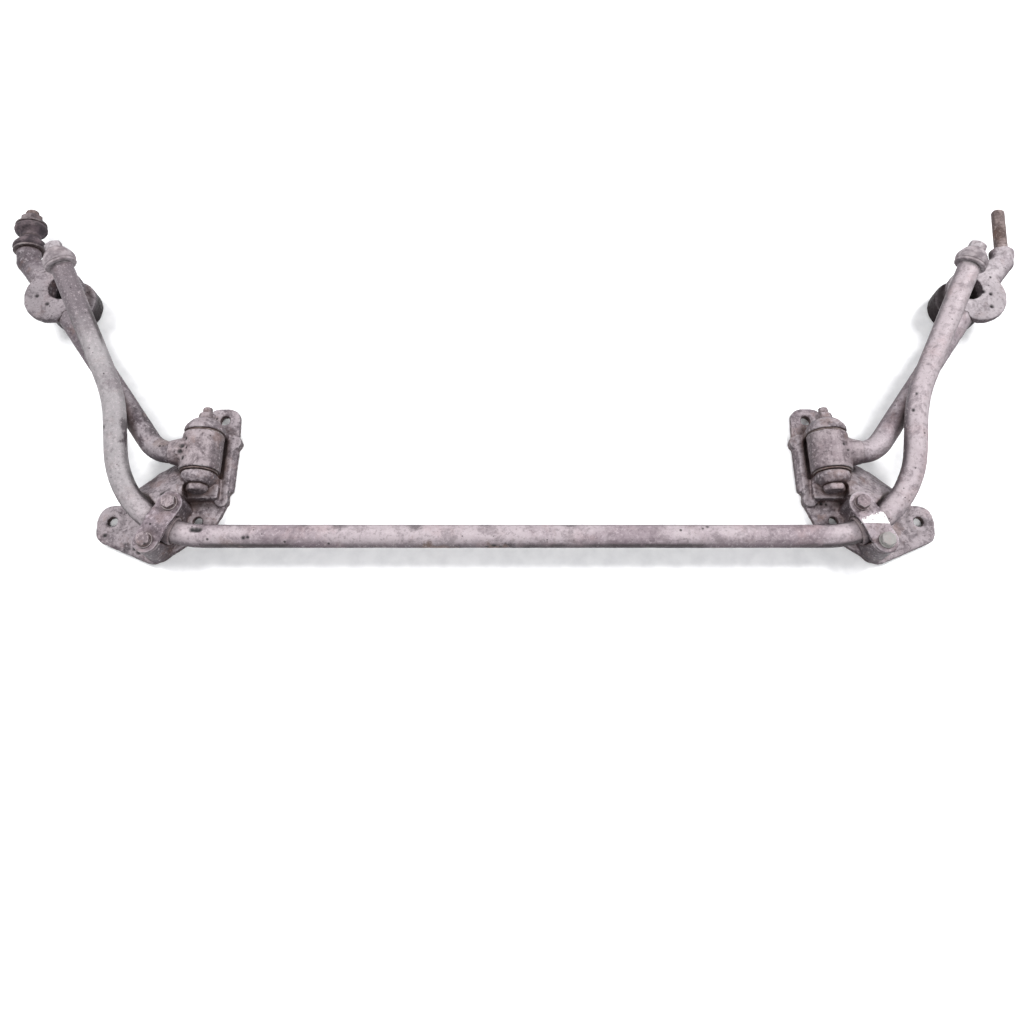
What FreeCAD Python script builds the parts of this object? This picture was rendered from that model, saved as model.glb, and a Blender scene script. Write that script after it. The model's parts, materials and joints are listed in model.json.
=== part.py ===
import FreeCAD, Part
import math
import os
import Sketcher
from FreeCAD import Placement, Rotation, Vector

# Car anti-roll bar assembly, in millimetres.
# Origin: midway between the two inner bolt holes, on the face that bolts to the vehicle frame.
# +X runs along the bar to the right bracket, +Y towards the free ends of the arms, and +Z away
# from the mounting face. Every right-hand piece is modelled once and mirrored to the left.

os.makedirs("parts", exist_ok=True)
doc = FreeCAD.newDocument("AntiRollBarAssembly")
sheet = doc.addObject("Spreadsheet::Sheet", "Sizes")

SIZES = [
    # The bent bar. Its straight part lies along X; its arms rise out of the mounting plane.
    ("bar_radius", 12.5), ("bar_line_y", -22.0), ("bar_line_z", 28.0), ("bar_rise", 12.0),
    ("bar_corner_x", 430.0), ("bar_bend_radius", 106.0), ("bar_bend_angle", 83.4),
    ("bar_arm_run", 154.5), ("bar_kink_radius", 150.0), ("bar_kink_angle", 19.5),
    ("bar_outer_run", 172.0), ("bar_tip_radius", 6.0), ("bar_tip_length", 32.0),
    # Pieces on each end of the bar, outwards from its shoulder.
    ("end_washer_radius", 17.5), ("end_washer_thick", 3.0),
    ("end_bush_radius", 18.5), ("end_bush_crown", 11.5), ("end_bush_length", 18.0),
    ("end_nut_flats", 18.0), ("end_nut_height", 9.0),
    # Bracket casting: mounting plate and its three bolt ears.
    ("plate_thick", 8.0), ("hole_radius", 5.5), ("boss_radius", 12.5), ("boss_height", 1.5),
    ("inner_hole_x", 352.5), ("outer_hole_x", 446.5), ("top_hole_x", 337.0), ("top_hole_y", 121.0),
    ("spot_face_radius", 11.0), ("rim_height", 15.0), ("rim_width", 7.0), ("rim_length", 72.0),
    ("side_pad_height", 13.0), ("web_top", 38.7), ("web_length", 62.0), ("web_angle", 58.0),
    # Clamp seat and strap, square to the bar where it is clamped.
    ("clamp_angle", 25.8), ("clamp_bolt_offset", 23.0), ("clamp_bolt_radius", 5.0),
    ("clamp_bolt_flats", 14.0), ("clamp_head_height", 6.5), ("clamp_bolt_reach", 36.0),
    ("clamp_hole_radius", 5.4), ("washer_radius", 8.6), ("washer_thick", 2.0),
    ("seat_width", 28.0), ("seat_length", 71.0), ("seat_top", 44.0), ("strap_foot", 14.0),
    ("strap_width", 27.0), ("strap_length", 72.0), ("strap_thick", 5.0), ("strap_lift", 3.8),
    ("bush_thick", 3.0), ("bush_length", 29.0), ("fit_gap", 0.05),
    # Control-arm pivot.
    ("pivot_x", 350.7), ("pivot_z", 32.0), ("lug_inner_y", 48.0), ("lug_outer_y", 95.0),
    ("lower_lug_thick", 13.0), ("upper_lug_thick", 17.0), ("lug_radius", 19.0),
    ("pivot_bolt_radius", 6.0), ("pivot_head_flats", 22.0), ("pivot_head_height", 8.5),
    ("pivot_nut_flats", 17.0), ("pivot_nut_height", 7.0), ("pivot_thread_end", 8.0),
    ("thrust_thick", 1.5), ("thrust_radius", 20.5), ("inner_sleeve_radius", 9.5),
    ("rubber_radius", 16.5), ("outer_sleeve_radius", 18.5), ("eye_radius", 22.5),
    ("eye_clearance", 0.5), ("head_step_width", 12.0),
    # Control arm: a bent tube from the eye to the ring forging.
    ("arm_y", 73.0), ("arm_corner_x", 401.0), ("arm_bend_radius", 34.0), ("arm_angle", 52.5),
    ("arm_run", 226.0), ("tube_radius", 12.5), ("tube_bore", 9.5),
    ("root_radius", 17.5), ("root_length", 14.0),
    # Ring forging at the arm's free end, with the stud boss beyond it.
    ("ring_x", 544.0), ("ring_y", 279.0), ("ring_radius", 35.5), ("ring_bore", 15.5),
    ("flange_offset_x", 8.0), ("flange_offset_y", -8.5), ("ring_wall", 7.5),
    ("ring_top", 45.0), ("ring_flange", 15.0), ("cup_radius", 29.0), ("cup_offset_x", -8.3),
    ("cup_offset_y", -11.8), ("cup_bottom", 4.0), ("neck_radius", 13.5), ("boss_face_x", 601.5),
    ("boss_face_y", 338.0), ("stud_boss_radius", 14.5), ("stud_boss_length", 16.0),
    ("stud_tilt", 8.0), ("stud_z", 30.0), ("stud_radius", 8.0), ("stud_reach", 60.0),
    ("stud_depth", 14.0), ("stud_root_radius", 7.4), ("stud_relief", 1.0), ("stud_bevel", 2.0),
    # Rubber mounting on the left stud, outwards from the boss face.
    ("cup_washer_radius", 18.5), ("cup_washer_thick", 3.0), ("mount_bush_radius", 19.5),
    ("mount_waist_radius", 12.0), ("mount_bush_length", 17.0), ("mount_nut_flats", 24.0),
    ("mount_nut_height", 11.0),
]
for row, (alias, value) in enumerate(SIZES, start=1):
    sheet.set(f"A{row}", alias)
    sheet.set(f"B{row}", str(value))
    sheet.setAlias(f"B{row}", alias)
doc.recompute()


def size(alias):
    """Value of one cell of the sheet."""
    return float(sheet.get(alias))


# ---------------------------------------------------------------- helpers

def along(direction, base):
    """Placement that carries local +Z onto a direction, with the local origin at base."""
    return Placement(Vector(*base), Rotation(Vector(0, 0, 1), Vector(*direction)))


def solid(kind, name, placement=None, **formulas):
    """Add a Part primitive whose properties follow formulas of the sheet's cells."""
    item = doc.addObject(kind, name)
    if kind == "Part::Prism":
        item.Polygon = 6
    for prop, formula in formulas.items():
        item.setExpression(prop, formula)
    if placement is not None:
        item.Placement = placement
    return item


def fuse(name, items):
    joined = doc.addObject("Part::MultiFuse", name)
    joined.Shapes = items
    return joined


def cut(name, base, tool):
    result = doc.addObject("Part::Cut", name)
    result.Base = base
    result.Tool = tool
    return result


def common(name, base, tool):
    result = doc.addObject("Part::Common", name)
    result.Base = base
    result.Tool = tool
    return result


def group(name, items):
    """Several separate solids kept together as one node."""
    result = doc.addObject("Part::Compound", name)
    result.Links = items
    return result


def origin_plane(body, role):
    return next(feature for feature in body.Origin.OriginFeatures if feature.Role == role)


def new_sketch(body, name, role, offset=Vector(0, 0, 0)):
    sketch = body.newObject("Sketcher::SketchObject", name)
    sketch.AttachmentSupport = [(origin_plane(body, role), "")]
    sketch.MapMode = "FlatFace"
    sketch.AttachmentOffset = Placement(offset, Rotation())
    return sketch


def add_circle(sketch, centre_x, centre_y, radius_formula):
    """Circle whose radius follows the sheet and whose centre is locked."""
    index = sketch.addGeometry(Part.Circle(Vector(centre_x, centre_y, 0), Vector(0, 0, 1), 5), False)
    radius = sketch.addConstraint(Sketcher.Constraint("Radius", index, 5.0))
    sketch.setExpression(f"Constraints[{radius}]", radius_formula)
    for kind, value in (("DistanceX", centre_x), ("DistanceY", centre_y)):
        sketch.addConstraint(Sketcher.Constraint(kind, -1, 1, index, 3, value))


def corner_arc(before, corner, after, radius):
    """Start, middle and end of the arc that rounds a corner between two straight lines."""
    into = (corner - before).normalize()
    out = (after - corner).normalize()
    turn = into.getAngle(out)
    reach = radius * math.tan(turn / 2)
    bisector = (out - into).normalize()
    centre = corner + bisector * (radius / math.cos(turn / 2))
    middle = centre - bisector * radius
    return corner - into * reach, middle, corner + out * reach


def add_outline(sketch, corners):
    """Closed outline of straight lines; each corner is (x, y, rounding radius or 0)."""
    points = [Vector(x, y, 0) for x, y, _ in corners]
    arcs = []
    for index, (_, _, radius) in enumerate(corners):
        before, corner, after = points[index - 1], points[index], points[(index + 1) % len(points)]
        arcs.append(corner_arc(before, corner, after, radius) if radius else (corner,) * 3)
    first = sketch.GeometryCount
    for index, arc in enumerate(arcs):
        if corners[index][2]:
            sketch.addGeometry(Part.Arc(*arc), False)
        following = arcs[(index + 1) % len(arcs)]
        sketch.addGeometry(Part.LineSegment(arc[2], following[0]), False)
    for index in range(first, sketch.GeometryCount):
        sketch.addConstraint(Sketcher.Constraint("Block", index))


def add_path(sketch, points, radii):
    """Open path of straight runs joined by tangent arcs at its inner points."""
    start = points[0]
    for before, corner, after, radius in zip(points, points[1:], points[2:], radii):
        arc = corner_arc(before, corner, after, radius)
        sketch.addGeometry(Part.LineSegment(start, arc[0]), False)
        sketch.addGeometry(Part.Arc(*arc), False)
        start = arc[2]
    sketch.addGeometry(Part.LineSegment(start, points[-1]), False)
    for index in range(sketch.GeometryCount):
        sketch.addConstraint(Sketcher.Constraint("Block", index))


def new_body(name):
    return doc.addObject("PartDesign::Body", name)


def pad(body, name, sketch, formula, midplane=False):
    feature = body.newObject("PartDesign::Pad", name)
    feature.Profile = sketch
    feature.setExpression("Length", formula)
    feature.Midplane = midplane
    return feature


def pocket_through(body, name, sketch):
    """Cut a sketch right through the solid, both ways from its plane."""
    feature = body.newObject("PartDesign::Pocket", name)
    feature.Profile = sketch
    feature.Type = "ThroughAll"
    feature.Midplane = True
    return feature


def revolve(body, name, sketch):
    """Turn a half profile once round the body's Z axis."""
    feature = body.newObject("PartDesign::Revolution", name)
    feature.Profile = sketch
    feature.ReferenceAxis = (sketch, ["V_Axis"])
    feature.Angle = 360
    return feature


def turned(name, profile, placement):
    """Round piece from a half profile of (radius, height, rounding) corners round local +Z."""
    body = new_body(name)
    sketch = new_sketch(body, name + "Profile", "XZ_Plane")
    add_outline(sketch, profile)
    revolve(body, name + "Turn", sketch)
    body.Placement = placement
    return body


def ring(name, outer_formula, inner_formula, height_formula, placement):
    """Plain washer or sleeve along local +Z."""
    outer = solid("Part::Cylinder", name + "Outer", Radius=outer_formula, Height=height_formula)
    inner = solid("Part::Cylinder", name + "Inner", Radius=inner_formula, Height=height_formula)
    result = cut(name, outer, inner)
    result.Placement = placement
    return result


def hexagon(name, flats_formula, height_formula, placement):
    """Hexagon along local +Z, its far corners bevelled by a cone."""
    prism = solid("Part::Prism", name + "Prism", Circumradius=f"{flats_formula} / 2 / cos(30 deg)",
                  Height=height_formula)
    bevel = solid("Part::Cone", name + "Bevel", Radius2=f"{flats_formula} * 0.47",
                  Radius1=f"{flats_formula} * 0.47 + {height_formula} * tan(60 deg)",
                  Height=height_formula)
    head = common(name, prism, bevel)
    head.Placement = placement
    return head


def mirrored(source, name):
    """The left-hand twin of a right-hand piece."""
    twin = doc.addObject("Part::Mirroring", name)
    twin.Source = source
    twin.Base = Vector(0, 0, 0)
    twin.Normal = Vector(1, 0, 0)
    return twin


pieces = {}


def keep(node, item):
    item.Label = node
    pieces[node] = item


def keep_pair(name, item):
    """Keep a right-hand piece and its mirrored left-hand twin."""
    keep("right_" + name, item)
    keep("left_" + name, mirrored(item, "Left" + name.title().replace("_", "")))


# ---------------------------------------------------------------- the bar

BAR_PLANE = Placement(Vector(0, size("bar_line_y"), size("bar_line_z")),
                      Rotation(Vector(1, 0, 0), size("bar_rise")))


def heading(degrees):
    return Vector(math.cos(math.radians(degrees)), math.sin(math.radians(degrees)), 0)


bar_corner = Vector(size("bar_corner_x"), 0, 0)
bar_kink = bar_corner + heading(size("bar_bend_angle")) * size("bar_arm_run")
bar_end_heading = heading(size("bar_bend_angle") - size("bar_kink_angle"))
bar_end = bar_kink + bar_end_heading * size("bar_outer_run")


def make_bar():
    """One solid bar, planar, bent alike at both ends, each end turned down to a shank."""
    body = new_body("AntiRollBar")
    route = new_sketch(body, "BarRoute", "XY_Plane")
    add_path(route, [Vector(0, 0, 0), bar_corner, bar_kink, bar_end],
             [size("bar_bend_radius"), size("bar_kink_radius")])
    section = new_sketch(body, "BarSection", "YZ_Plane")
    add_circle(section, 0, 0, "Sizes.bar_radius")
    pipe = body.newObject("PartDesign::AdditivePipe", "BarPipe")
    pipe.Profile = section
    pipe.Spine = route
    doc.recompute()
    faces = pipe.Shape.Faces
    shoulder = max(range(len(faces)), key=lambda index: faces[index].CenterOfMass.y)
    shank_sketch = body.newObject("Sketcher::SketchObject", "ShankSection")
    shank_sketch.AttachmentSupport = [(pipe, f"Face{shoulder + 1}")]
    shank_sketch.MapMode = "InertialCS"
    add_circle(shank_sketch, 0, 0, "Sizes.bar_tip_radius")
    shank = pad(body, "Shank", shank_sketch, "Sizes.bar_tip_length")
    doc.recompute()
    if shank.Shape.BoundBox.YMax < pipe.Shape.BoundBox.YMax + size("bar_tip_length") / 2:
        shank.Reversed = True
    twin = body.newObject("PartDesign::Mirrored", "LeftHalf")
    twin.Originals = [pipe, shank]
    twin.MirrorPlane = (origin_plane(body, "YZ_Plane"), [""])
    body.Tip = twin
    body.Placement = BAR_PLANE
    keep("anti_roll_bar", body)


def bar_end_place(distance):
    """Placement on the bar's end axis, a distance outwards from its shoulder."""
    local = Placement(bar_end + bar_end_heading * distance,
                      Rotation(Vector(0, 0, 1), bar_end_heading))
    return BAR_PLANE.multiply(local)


def make_bar_end():
    gap = size("fit_gap")
    bore = size("bar_tip_radius") + gap
    washer = ring("BarEndWasher", "Sizes.end_washer_radius", "Sizes.bar_tip_radius + Sizes.fit_gap",
                  "Sizes.end_washer_thick", bar_end_place(0))
    keep_pair("bar_end_washer", washer)

    radius, crown = size("end_bush_radius"), size("end_bush_crown")
    length = size("end_bush_length")
    lip, shoulder = length * 0.2, length * 0.45
    profile = [(bore, 0, 0), (radius - 1, 0, 0), (radius, lip, 1.5), (radius - 1, shoulder, 5),
               (crown, length, 2.5), (bore, length, 0)]
    start = size("end_washer_thick")
    keep_pair("bar_end_bush", turned("BarEndBush", profile, bar_end_place(start)))

    body = hexagon("BarEndNutHex", "Sizes.end_nut_flats", "Sizes.end_nut_height",
                   bar_end_place(start + length))
    bore_tool = solid("Part::Cylinder", "BarEndNutBore", bar_end_place(start + length - 1),
                      Radius="Sizes.bar_tip_radius + Sizes.fit_gap",
                      Height="Sizes.end_nut_height + 2")
    keep_pair("bar_end_nut", cut("BarEndNut", body, bore_tool))


# ---------------------------------------------------------------- clamp on the bar

clamp_heading = size("clamp_angle")
bend_start = size("bar_corner_x") - size("bar_bend_radius") * math.tan(
    math.radians(size("bar_bend_angle") / 2))
bend_centre = Vector(bend_start, size("bar_bend_radius"), 0)
clamp_centre = BAR_PLANE.multVec(bend_centre + heading(clamp_heading - 90) * size("bar_bend_radius"))
clamp_turn = Rotation(Vector(0, 0, 1), clamp_heading)


def clamp_place(across, height):
    """Placement over the clamp: across runs along the strap, height is above the mounting face."""
    offset = clamp_turn.multVec(Vector(0, across, 0))
    return Placement(Vector(clamp_centre.x + offset.x, clamp_centre.y + offset.y, height), clamp_turn)


def bend_torus(name, radius_formula, length):
    """Length of round bar along the clamped bend, centred on the clamp."""
    angle = math.degrees(length / size("bar_bend_radius"))
    local = Placement(bend_centre, Rotation(Vector(0, 0, 1), clamp_heading - 90 - angle / 2))
    item = solid("Part::Torus", name, BAR_PLANE.multiply(local), Radius1="Sizes.bar_bend_radius",
                 Radius2=radius_formula)
    item.Angle3 = angle
    return item


def strap_outline(name, width_formula, length_formula, height):
    """Round-ended upright block over the clamp, from the mounting face up to a height."""
    width, length = size(width_formula), size(length_formula)
    body = new_body(name)
    sketch = new_sketch(body, name + "Outline", "XY_Plane")
    radius = width / 2 - 0.01
    half_length = length / 2
    add_outline(sketch, [(-width / 2, -half_length, radius), (width / 2, -half_length, radius),
                         (width / 2, half_length, radius), (-width / 2, half_length, radius)])
    pad(body, name + "Pad", sketch, str(height))
    body.Placement = clamp_place(0, 0)
    return body


def make_clamp():
    gap = "Sizes.fit_gap"
    outer = bend_torus("BushOuter", "Sizes.bar_radius + Sizes.bush_thick", size("bush_length"))
    inner = bend_torus("BushInner", f"Sizes.bar_radius + {gap}", size("bush_length") + 4)
    keep_pair("bar_bush", cut("BarBush", outer, inner))

    # The strap's ends lie flat on the seat; its middle is creased upwards to pass over the bush.
    low, thick = size("seat_top"), size("strap_thick")
    ridge = low + size("strap_lift")
    half, foot, crease = size("strap_length") / 2, size("strap_foot"), 3.0
    profile = [(-half, low, 0), (-foot, low, crease), (0, ridge, crease), (foot, low, crease),
               (half, low, 0), (half, low + thick, 0), (foot, low + thick, crease),
               (0, ridge + thick, crease), (-foot, low + thick, crease), (-half, low + thick, 0)]
    arch = new_body("StrapArch")
    side = new_sketch(arch, "StrapSide", "YZ_Plane")
    add_outline(side, profile)
    pad(arch, "StrapPad", side, "Sizes.strap_width", midplane=True)
    holes = new_sketch(arch, "StrapHoles", "XY_Plane")
    for across in (-size("clamp_bolt_offset"), size("clamp_bolt_offset")):
        add_circle(holes, 0, across, "Sizes.clamp_hole_radius")
    pocket_through(arch, "StrapDrill", holes)
    arch.Placement = clamp_place(0, 0)
    strap = common("ClampStrap", arch, strap_outline("StrapPlan", "strap_width", "strap_length",
                                                    ridge + 2 * thick))
    keep_pair("clamp_strap", strap)

    bolts, washers = [], []
    washer_level = low + thick
    head_level = washer_level + size("washer_thick")
    for index, across in enumerate((size("clamp_bolt_offset"), -size("clamp_bolt_offset"))):
        washers.append(ring(f"ClampWasher{index}", "Sizes.washer_radius", "Sizes.clamp_hole_radius",
                            "Sizes.washer_thick", clamp_place(across, washer_level)))
        head = hexagon(f"ClampHead{index}", "Sizes.clamp_bolt_flats", "Sizes.clamp_head_height",
                       clamp_place(across, head_level))
        reach = size("clamp_bolt_reach")
        shank = solid("Part::Cylinder", f"ClampShank{index}",
                      clamp_place(across, head_level - reach), Radius="Sizes.clamp_bolt_radius",
                      Height="Sizes.clamp_bolt_reach")
        bolts.append(fuse(f"ClampBolt{index}", [head, shank]))
    keep_pair("clamp_washers", group("ClampWashers", washers))
    keep_pair("clamp_bolts", group("ClampBolts", bolts))


# ---------------------------------------------------------------- bracket casting

def pivot_place(along_y):
    """Placement on the pivot axis, local +Z along +Y."""
    return along((0, 1, 0), (size("pivot_x"), along_y, size("pivot_z")))


def bracket_plate(name, height_formula):
    """Upright block of the casting's outline: three ears, a lower tip and the edge to the arm."""
    outer, top_x, top_y = size("outer_hole_x"), size("top_hole_x"), size("top_hole_y")
    inner = size("inner_hole_x")
    ear = 16.0
    top_ear = [(top_x - ear, top_y + ear, 15), (top_x + ear, top_y + ear, 15)]
    arm_side = [(373, 104, 8), (373, 76, 6), (404, 57, 10)]
    outer_ear = [(outer - 6, 19.5, 12), (outer + 18, 18, 15), (outer + 17, -20, 14)]
    lower_tip = [(395, -48.5, 13), (inner - 18.5, -8, 13)]
    inner_side = [(323, 18, 8), (326, 46, 30), (326, 72, 20), (318, 92, 12)]
    body = new_body(name)
    sketch = new_sketch(body, name + "Outline", "XY_Plane")
    add_outline(sketch, top_ear + arm_side + outer_ear + lower_tip + inner_side)
    pad(body, name + "Pad", sketch, height_formula)
    return body


def bracket_web():
    """Sloping web from the lower lug to the clamp seat, highest along its inner edge."""
    top, bottom = size("web_top"), size("plate_thick") - 0.5
    back, crest, toe = -9, 1, 42
    body = new_body("Web")
    sketch = new_sketch(body, "WebSection", "XZ_Plane")
    add_outline(sketch, [(back, 0, 0), (toe, 0, 0), (toe, bottom, 0), (crest, top, 3),
                         (back, top, 2)])
    pad(body, "WebPad", sketch, "Sizes.web_length", midplane=True)
    body.Placement = Placement(Vector(380, 22, 0), Rotation(Vector(0, 0, 1), size("web_angle")))
    return common("WebInside", body, bracket_plate("WebLimit", "Sizes.web_top"))


def lug_foot(name, radius_formula, near_y, thick_formula):
    """Square foot of a round lug, from the pivot axis down to the mounting face."""
    foot = solid("Part::Box", name, Length=f"2 * {radius_formula}", Width=thick_formula,
                 Height="Sizes.pivot_z")
    foot.setExpression("Placement.Base.x", f"Sizes.pivot_x - {radius_formula}")
    foot.Placement.Base.y = near_y
    return foot


def make_bracket():
    lower_y = size("lug_inner_y") - size("lower_lug_thick")
    upper_y = size("lug_outer_y")
    solids = [bracket_plate("Plate", "Sizes.plate_thick"), bracket_web(),
              strap_outline("Seat", "seat_width", "seat_length", size("seat_top"))]
    # The upper lug ends in a dome, the lower one in a bevelled face round the bolt's head.
    dome_thick, dome_radius = size("upper_lug_thick"), size("eye_radius")
    dome = [(0, 0, 0), (dome_radius, 0, 0), (dome_radius, dome_thick * 0.35, 5),
            (dome_radius * 0.72, dome_thick * 0.82, 5), (dome_radius * 0.45, dome_thick, 2),
            (0, dome_thick, 0)]
    solids.append(turned("Dome", dome, pivot_place(upper_y)))
    solids.append(lug_foot("UpperFoot", "Sizes.eye_radius", upper_y, "Sizes.upper_lug_thick * 0.35"))
    thick, radius = size("lower_lug_thick"), size("lug_radius")
    lug = [(0, 0, 0), (radius * 0.72, 0, 2), (radius, thick * 0.45, 3), (radius, thick, 0),
           (0, thick, 0)]
    solids.append(turned("LowerLug", lug, pivot_place(lower_y)))
    solids.append(lug_foot("LowerFoot", "Sizes.lug_radius", lower_y + thick * 0.4,
                           "Sizes.lower_lug_thick * 0.6"))

    # Step under the head of the pivot bolt, which stops the head turning.
    step_width, step_reach = size("head_step_width"), size("lug_radius") + 1
    step_top = size("pivot_z") - size("pivot_head_flats") / 2 - 0.2
    step = solid("Part::Box", "HeadStep", Length="2 * Sizes.lug_radius + 2",
                 Width="Sizes.head_step_width + Sizes.lower_lug_thick / 2")
    step.Height = step_top
    step.Placement.Base = Vector(size("pivot_x") - step_reach, lower_y - step_width, 0)
    solids.append(step)

    # Low rim along the inner edge, two side pads on it, and a raised face at each bolt hole.
    rim = solid("Part::Box", "Rim", Length="Sizes.rim_width", Width="Sizes.rim_length",
                Height="Sizes.rim_height")
    rim.Placement.Base = Vector(321.5, 30, 0)
    solids.append(rim)
    for index, (pad_x, pad_y, pad_radius) in enumerate(((322.5, 93, 8.5), (328.5, 24, 8.0))):
        side_pad = solid("Part::Cylinder", f"SidePad{index}", Height="Sizes.side_pad_height")
        side_pad.Radius = pad_radius
        side_pad.Placement.Base = Vector(pad_x, pad_y, 0)
        solids.append(side_pad)
    holes = [(size("inner_hole_x"), 0), (size("outer_hole_x"), 0),
             (size("top_hole_x"), size("top_hole_y"))]
    tools = []
    for index, (hole_x, hole_y) in enumerate(holes):
        boss = solid("Part::Cylinder", f"Boss{index}", Radius="Sizes.boss_radius",
                     Height="Sizes.plate_thick + Sizes.boss_height")
        drill = solid("Part::Cylinder", f"Drill{index}", Radius="Sizes.hole_radius", Height="30")
        face = solid("Part::Cylinder", f"SpotFace{index}", Radius="Sizes.spot_face_radius",
                     Height="60")
        boss.Placement.Base = Vector(hole_x, hole_y, 0)
        drill.Placement.Base = Vector(hole_x, hole_y, -1)
        face.Placement.Base = Vector(hole_x, hole_y, size("plate_thick") + size("boss_height"))
        solids.append(boss)
        tools += [drill, face]

    # Bores for the pivot bolt and the clamp bolts, the saddle for the bush, and room for the eye.
    tools.append(solid("Part::Cylinder", "PivotBore", pivot_place(lower_y - 20),
                       Radius="Sizes.pivot_bolt_radius + 0.2", Height="140"))
    head_reach, head_room = size("pivot_head_flats") * 0.6, size("pivot_head_height") + 4
    room = solid("Part::Box", "HeadRoom", Height="Sizes.web_top")
    room.Length = 2 * head_reach
    room.Width = head_room
    room.Placement.Base = Vector(size("pivot_x") - head_reach, lower_y - head_room, step_top)
    tools.append(room)
    tools.append(solid("Part::Cylinder", "EyeRoom", pivot_place(size("lug_inner_y")),
                       Radius="Sizes.eye_radius + 1.2",
                       Height="Sizes.lug_outer_y - Sizes.lug_inner_y"))
    for index, across in enumerate((size("clamp_bolt_offset"), -size("clamp_bolt_offset"))):
        tools.append(solid("Part::Cylinder", f"ClampBore{index}", clamp_place(across, 12),
                           Radius="Sizes.clamp_bolt_radius + Sizes.fit_gap", Height="40"))
    tools.append(bend_torus("Saddle", "Sizes.bar_radius + Sizes.bush_thick + Sizes.fit_gap",
                            size("bush_length") + 3))
    tools.append(bend_torus("BarRoom", "Sizes.bar_radius + 2.6", 3 * size("bush_length")))
    half_slot = "(Sizes.bar_radius + Sizes.bush_thick + Sizes.fit_gap)"
    tools.append(ring("SeatSlot", f"Sizes.bar_bend_radius + {half_slot}",
                      f"Sizes.bar_bend_radius - {half_slot}", "Sizes.seat_top",
                      BAR_PLANE.multiply(Placement(bend_centre, Rotation()))))
    tools += arm_swing_room()
    tools.append(bar_swing_room())
    casting = cut("Bracket", fuse("BracketBlank", solids), fuse("BracketTools", tools))
    keep_pair("bracket", casting)


def arm_swing_room():
    """Space kept free of casting where the control arm leaves the eye and swings down."""
    rooms = []
    centre = (size("pivot_x"), size("arm_y"), size("pivot_z"))
    for index, swing in enumerate((0, 8, 16)):
        drop = math.radians(swing)
        place = along((math.cos(drop), 0, -math.sin(drop)), centre)
        rooms.append(solid("Part::Cylinder", f"RootRoom{index}", place,
                           Radius="Sizes.root_radius + 1.2", Height="37"))
        rooms.append(solid("Part::Cylinder", f"TubeRoom{index}", place,
                           Radius="Sizes.tube_radius + 1.5", Height="70"))
    return rooms


def bar_swing_room():
    """Space kept free of casting where the bar's arm leaves the clamp and swings."""
    rooms = []
    past_clamp, sector = 12, 50
    for index, swing in enumerate((-5, -10)):
        local = Placement(bend_centre, Rotation(Vector(0, 0, 1), clamp_heading - 90 + past_clamp))
        room = solid("Part::Torus", f"SwingRoom{index}", Radius1="Sizes.bar_bend_radius",
                     Radius2="Sizes.bar_radius + 2.5")
        room.Angle3 = sector
        pivot = Placement(clamp_centre, Rotation(Vector(1, 0, 0), swing)).multiply(
            Placement(clamp_centre * -1, Rotation()))
        room.Placement = pivot.multiply(BAR_PLANE.multiply(local))
        rooms.append(room)
    return fuse("SwingRoom", rooms)


# ---------------------------------------------------------------- control-arm pivot

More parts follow.
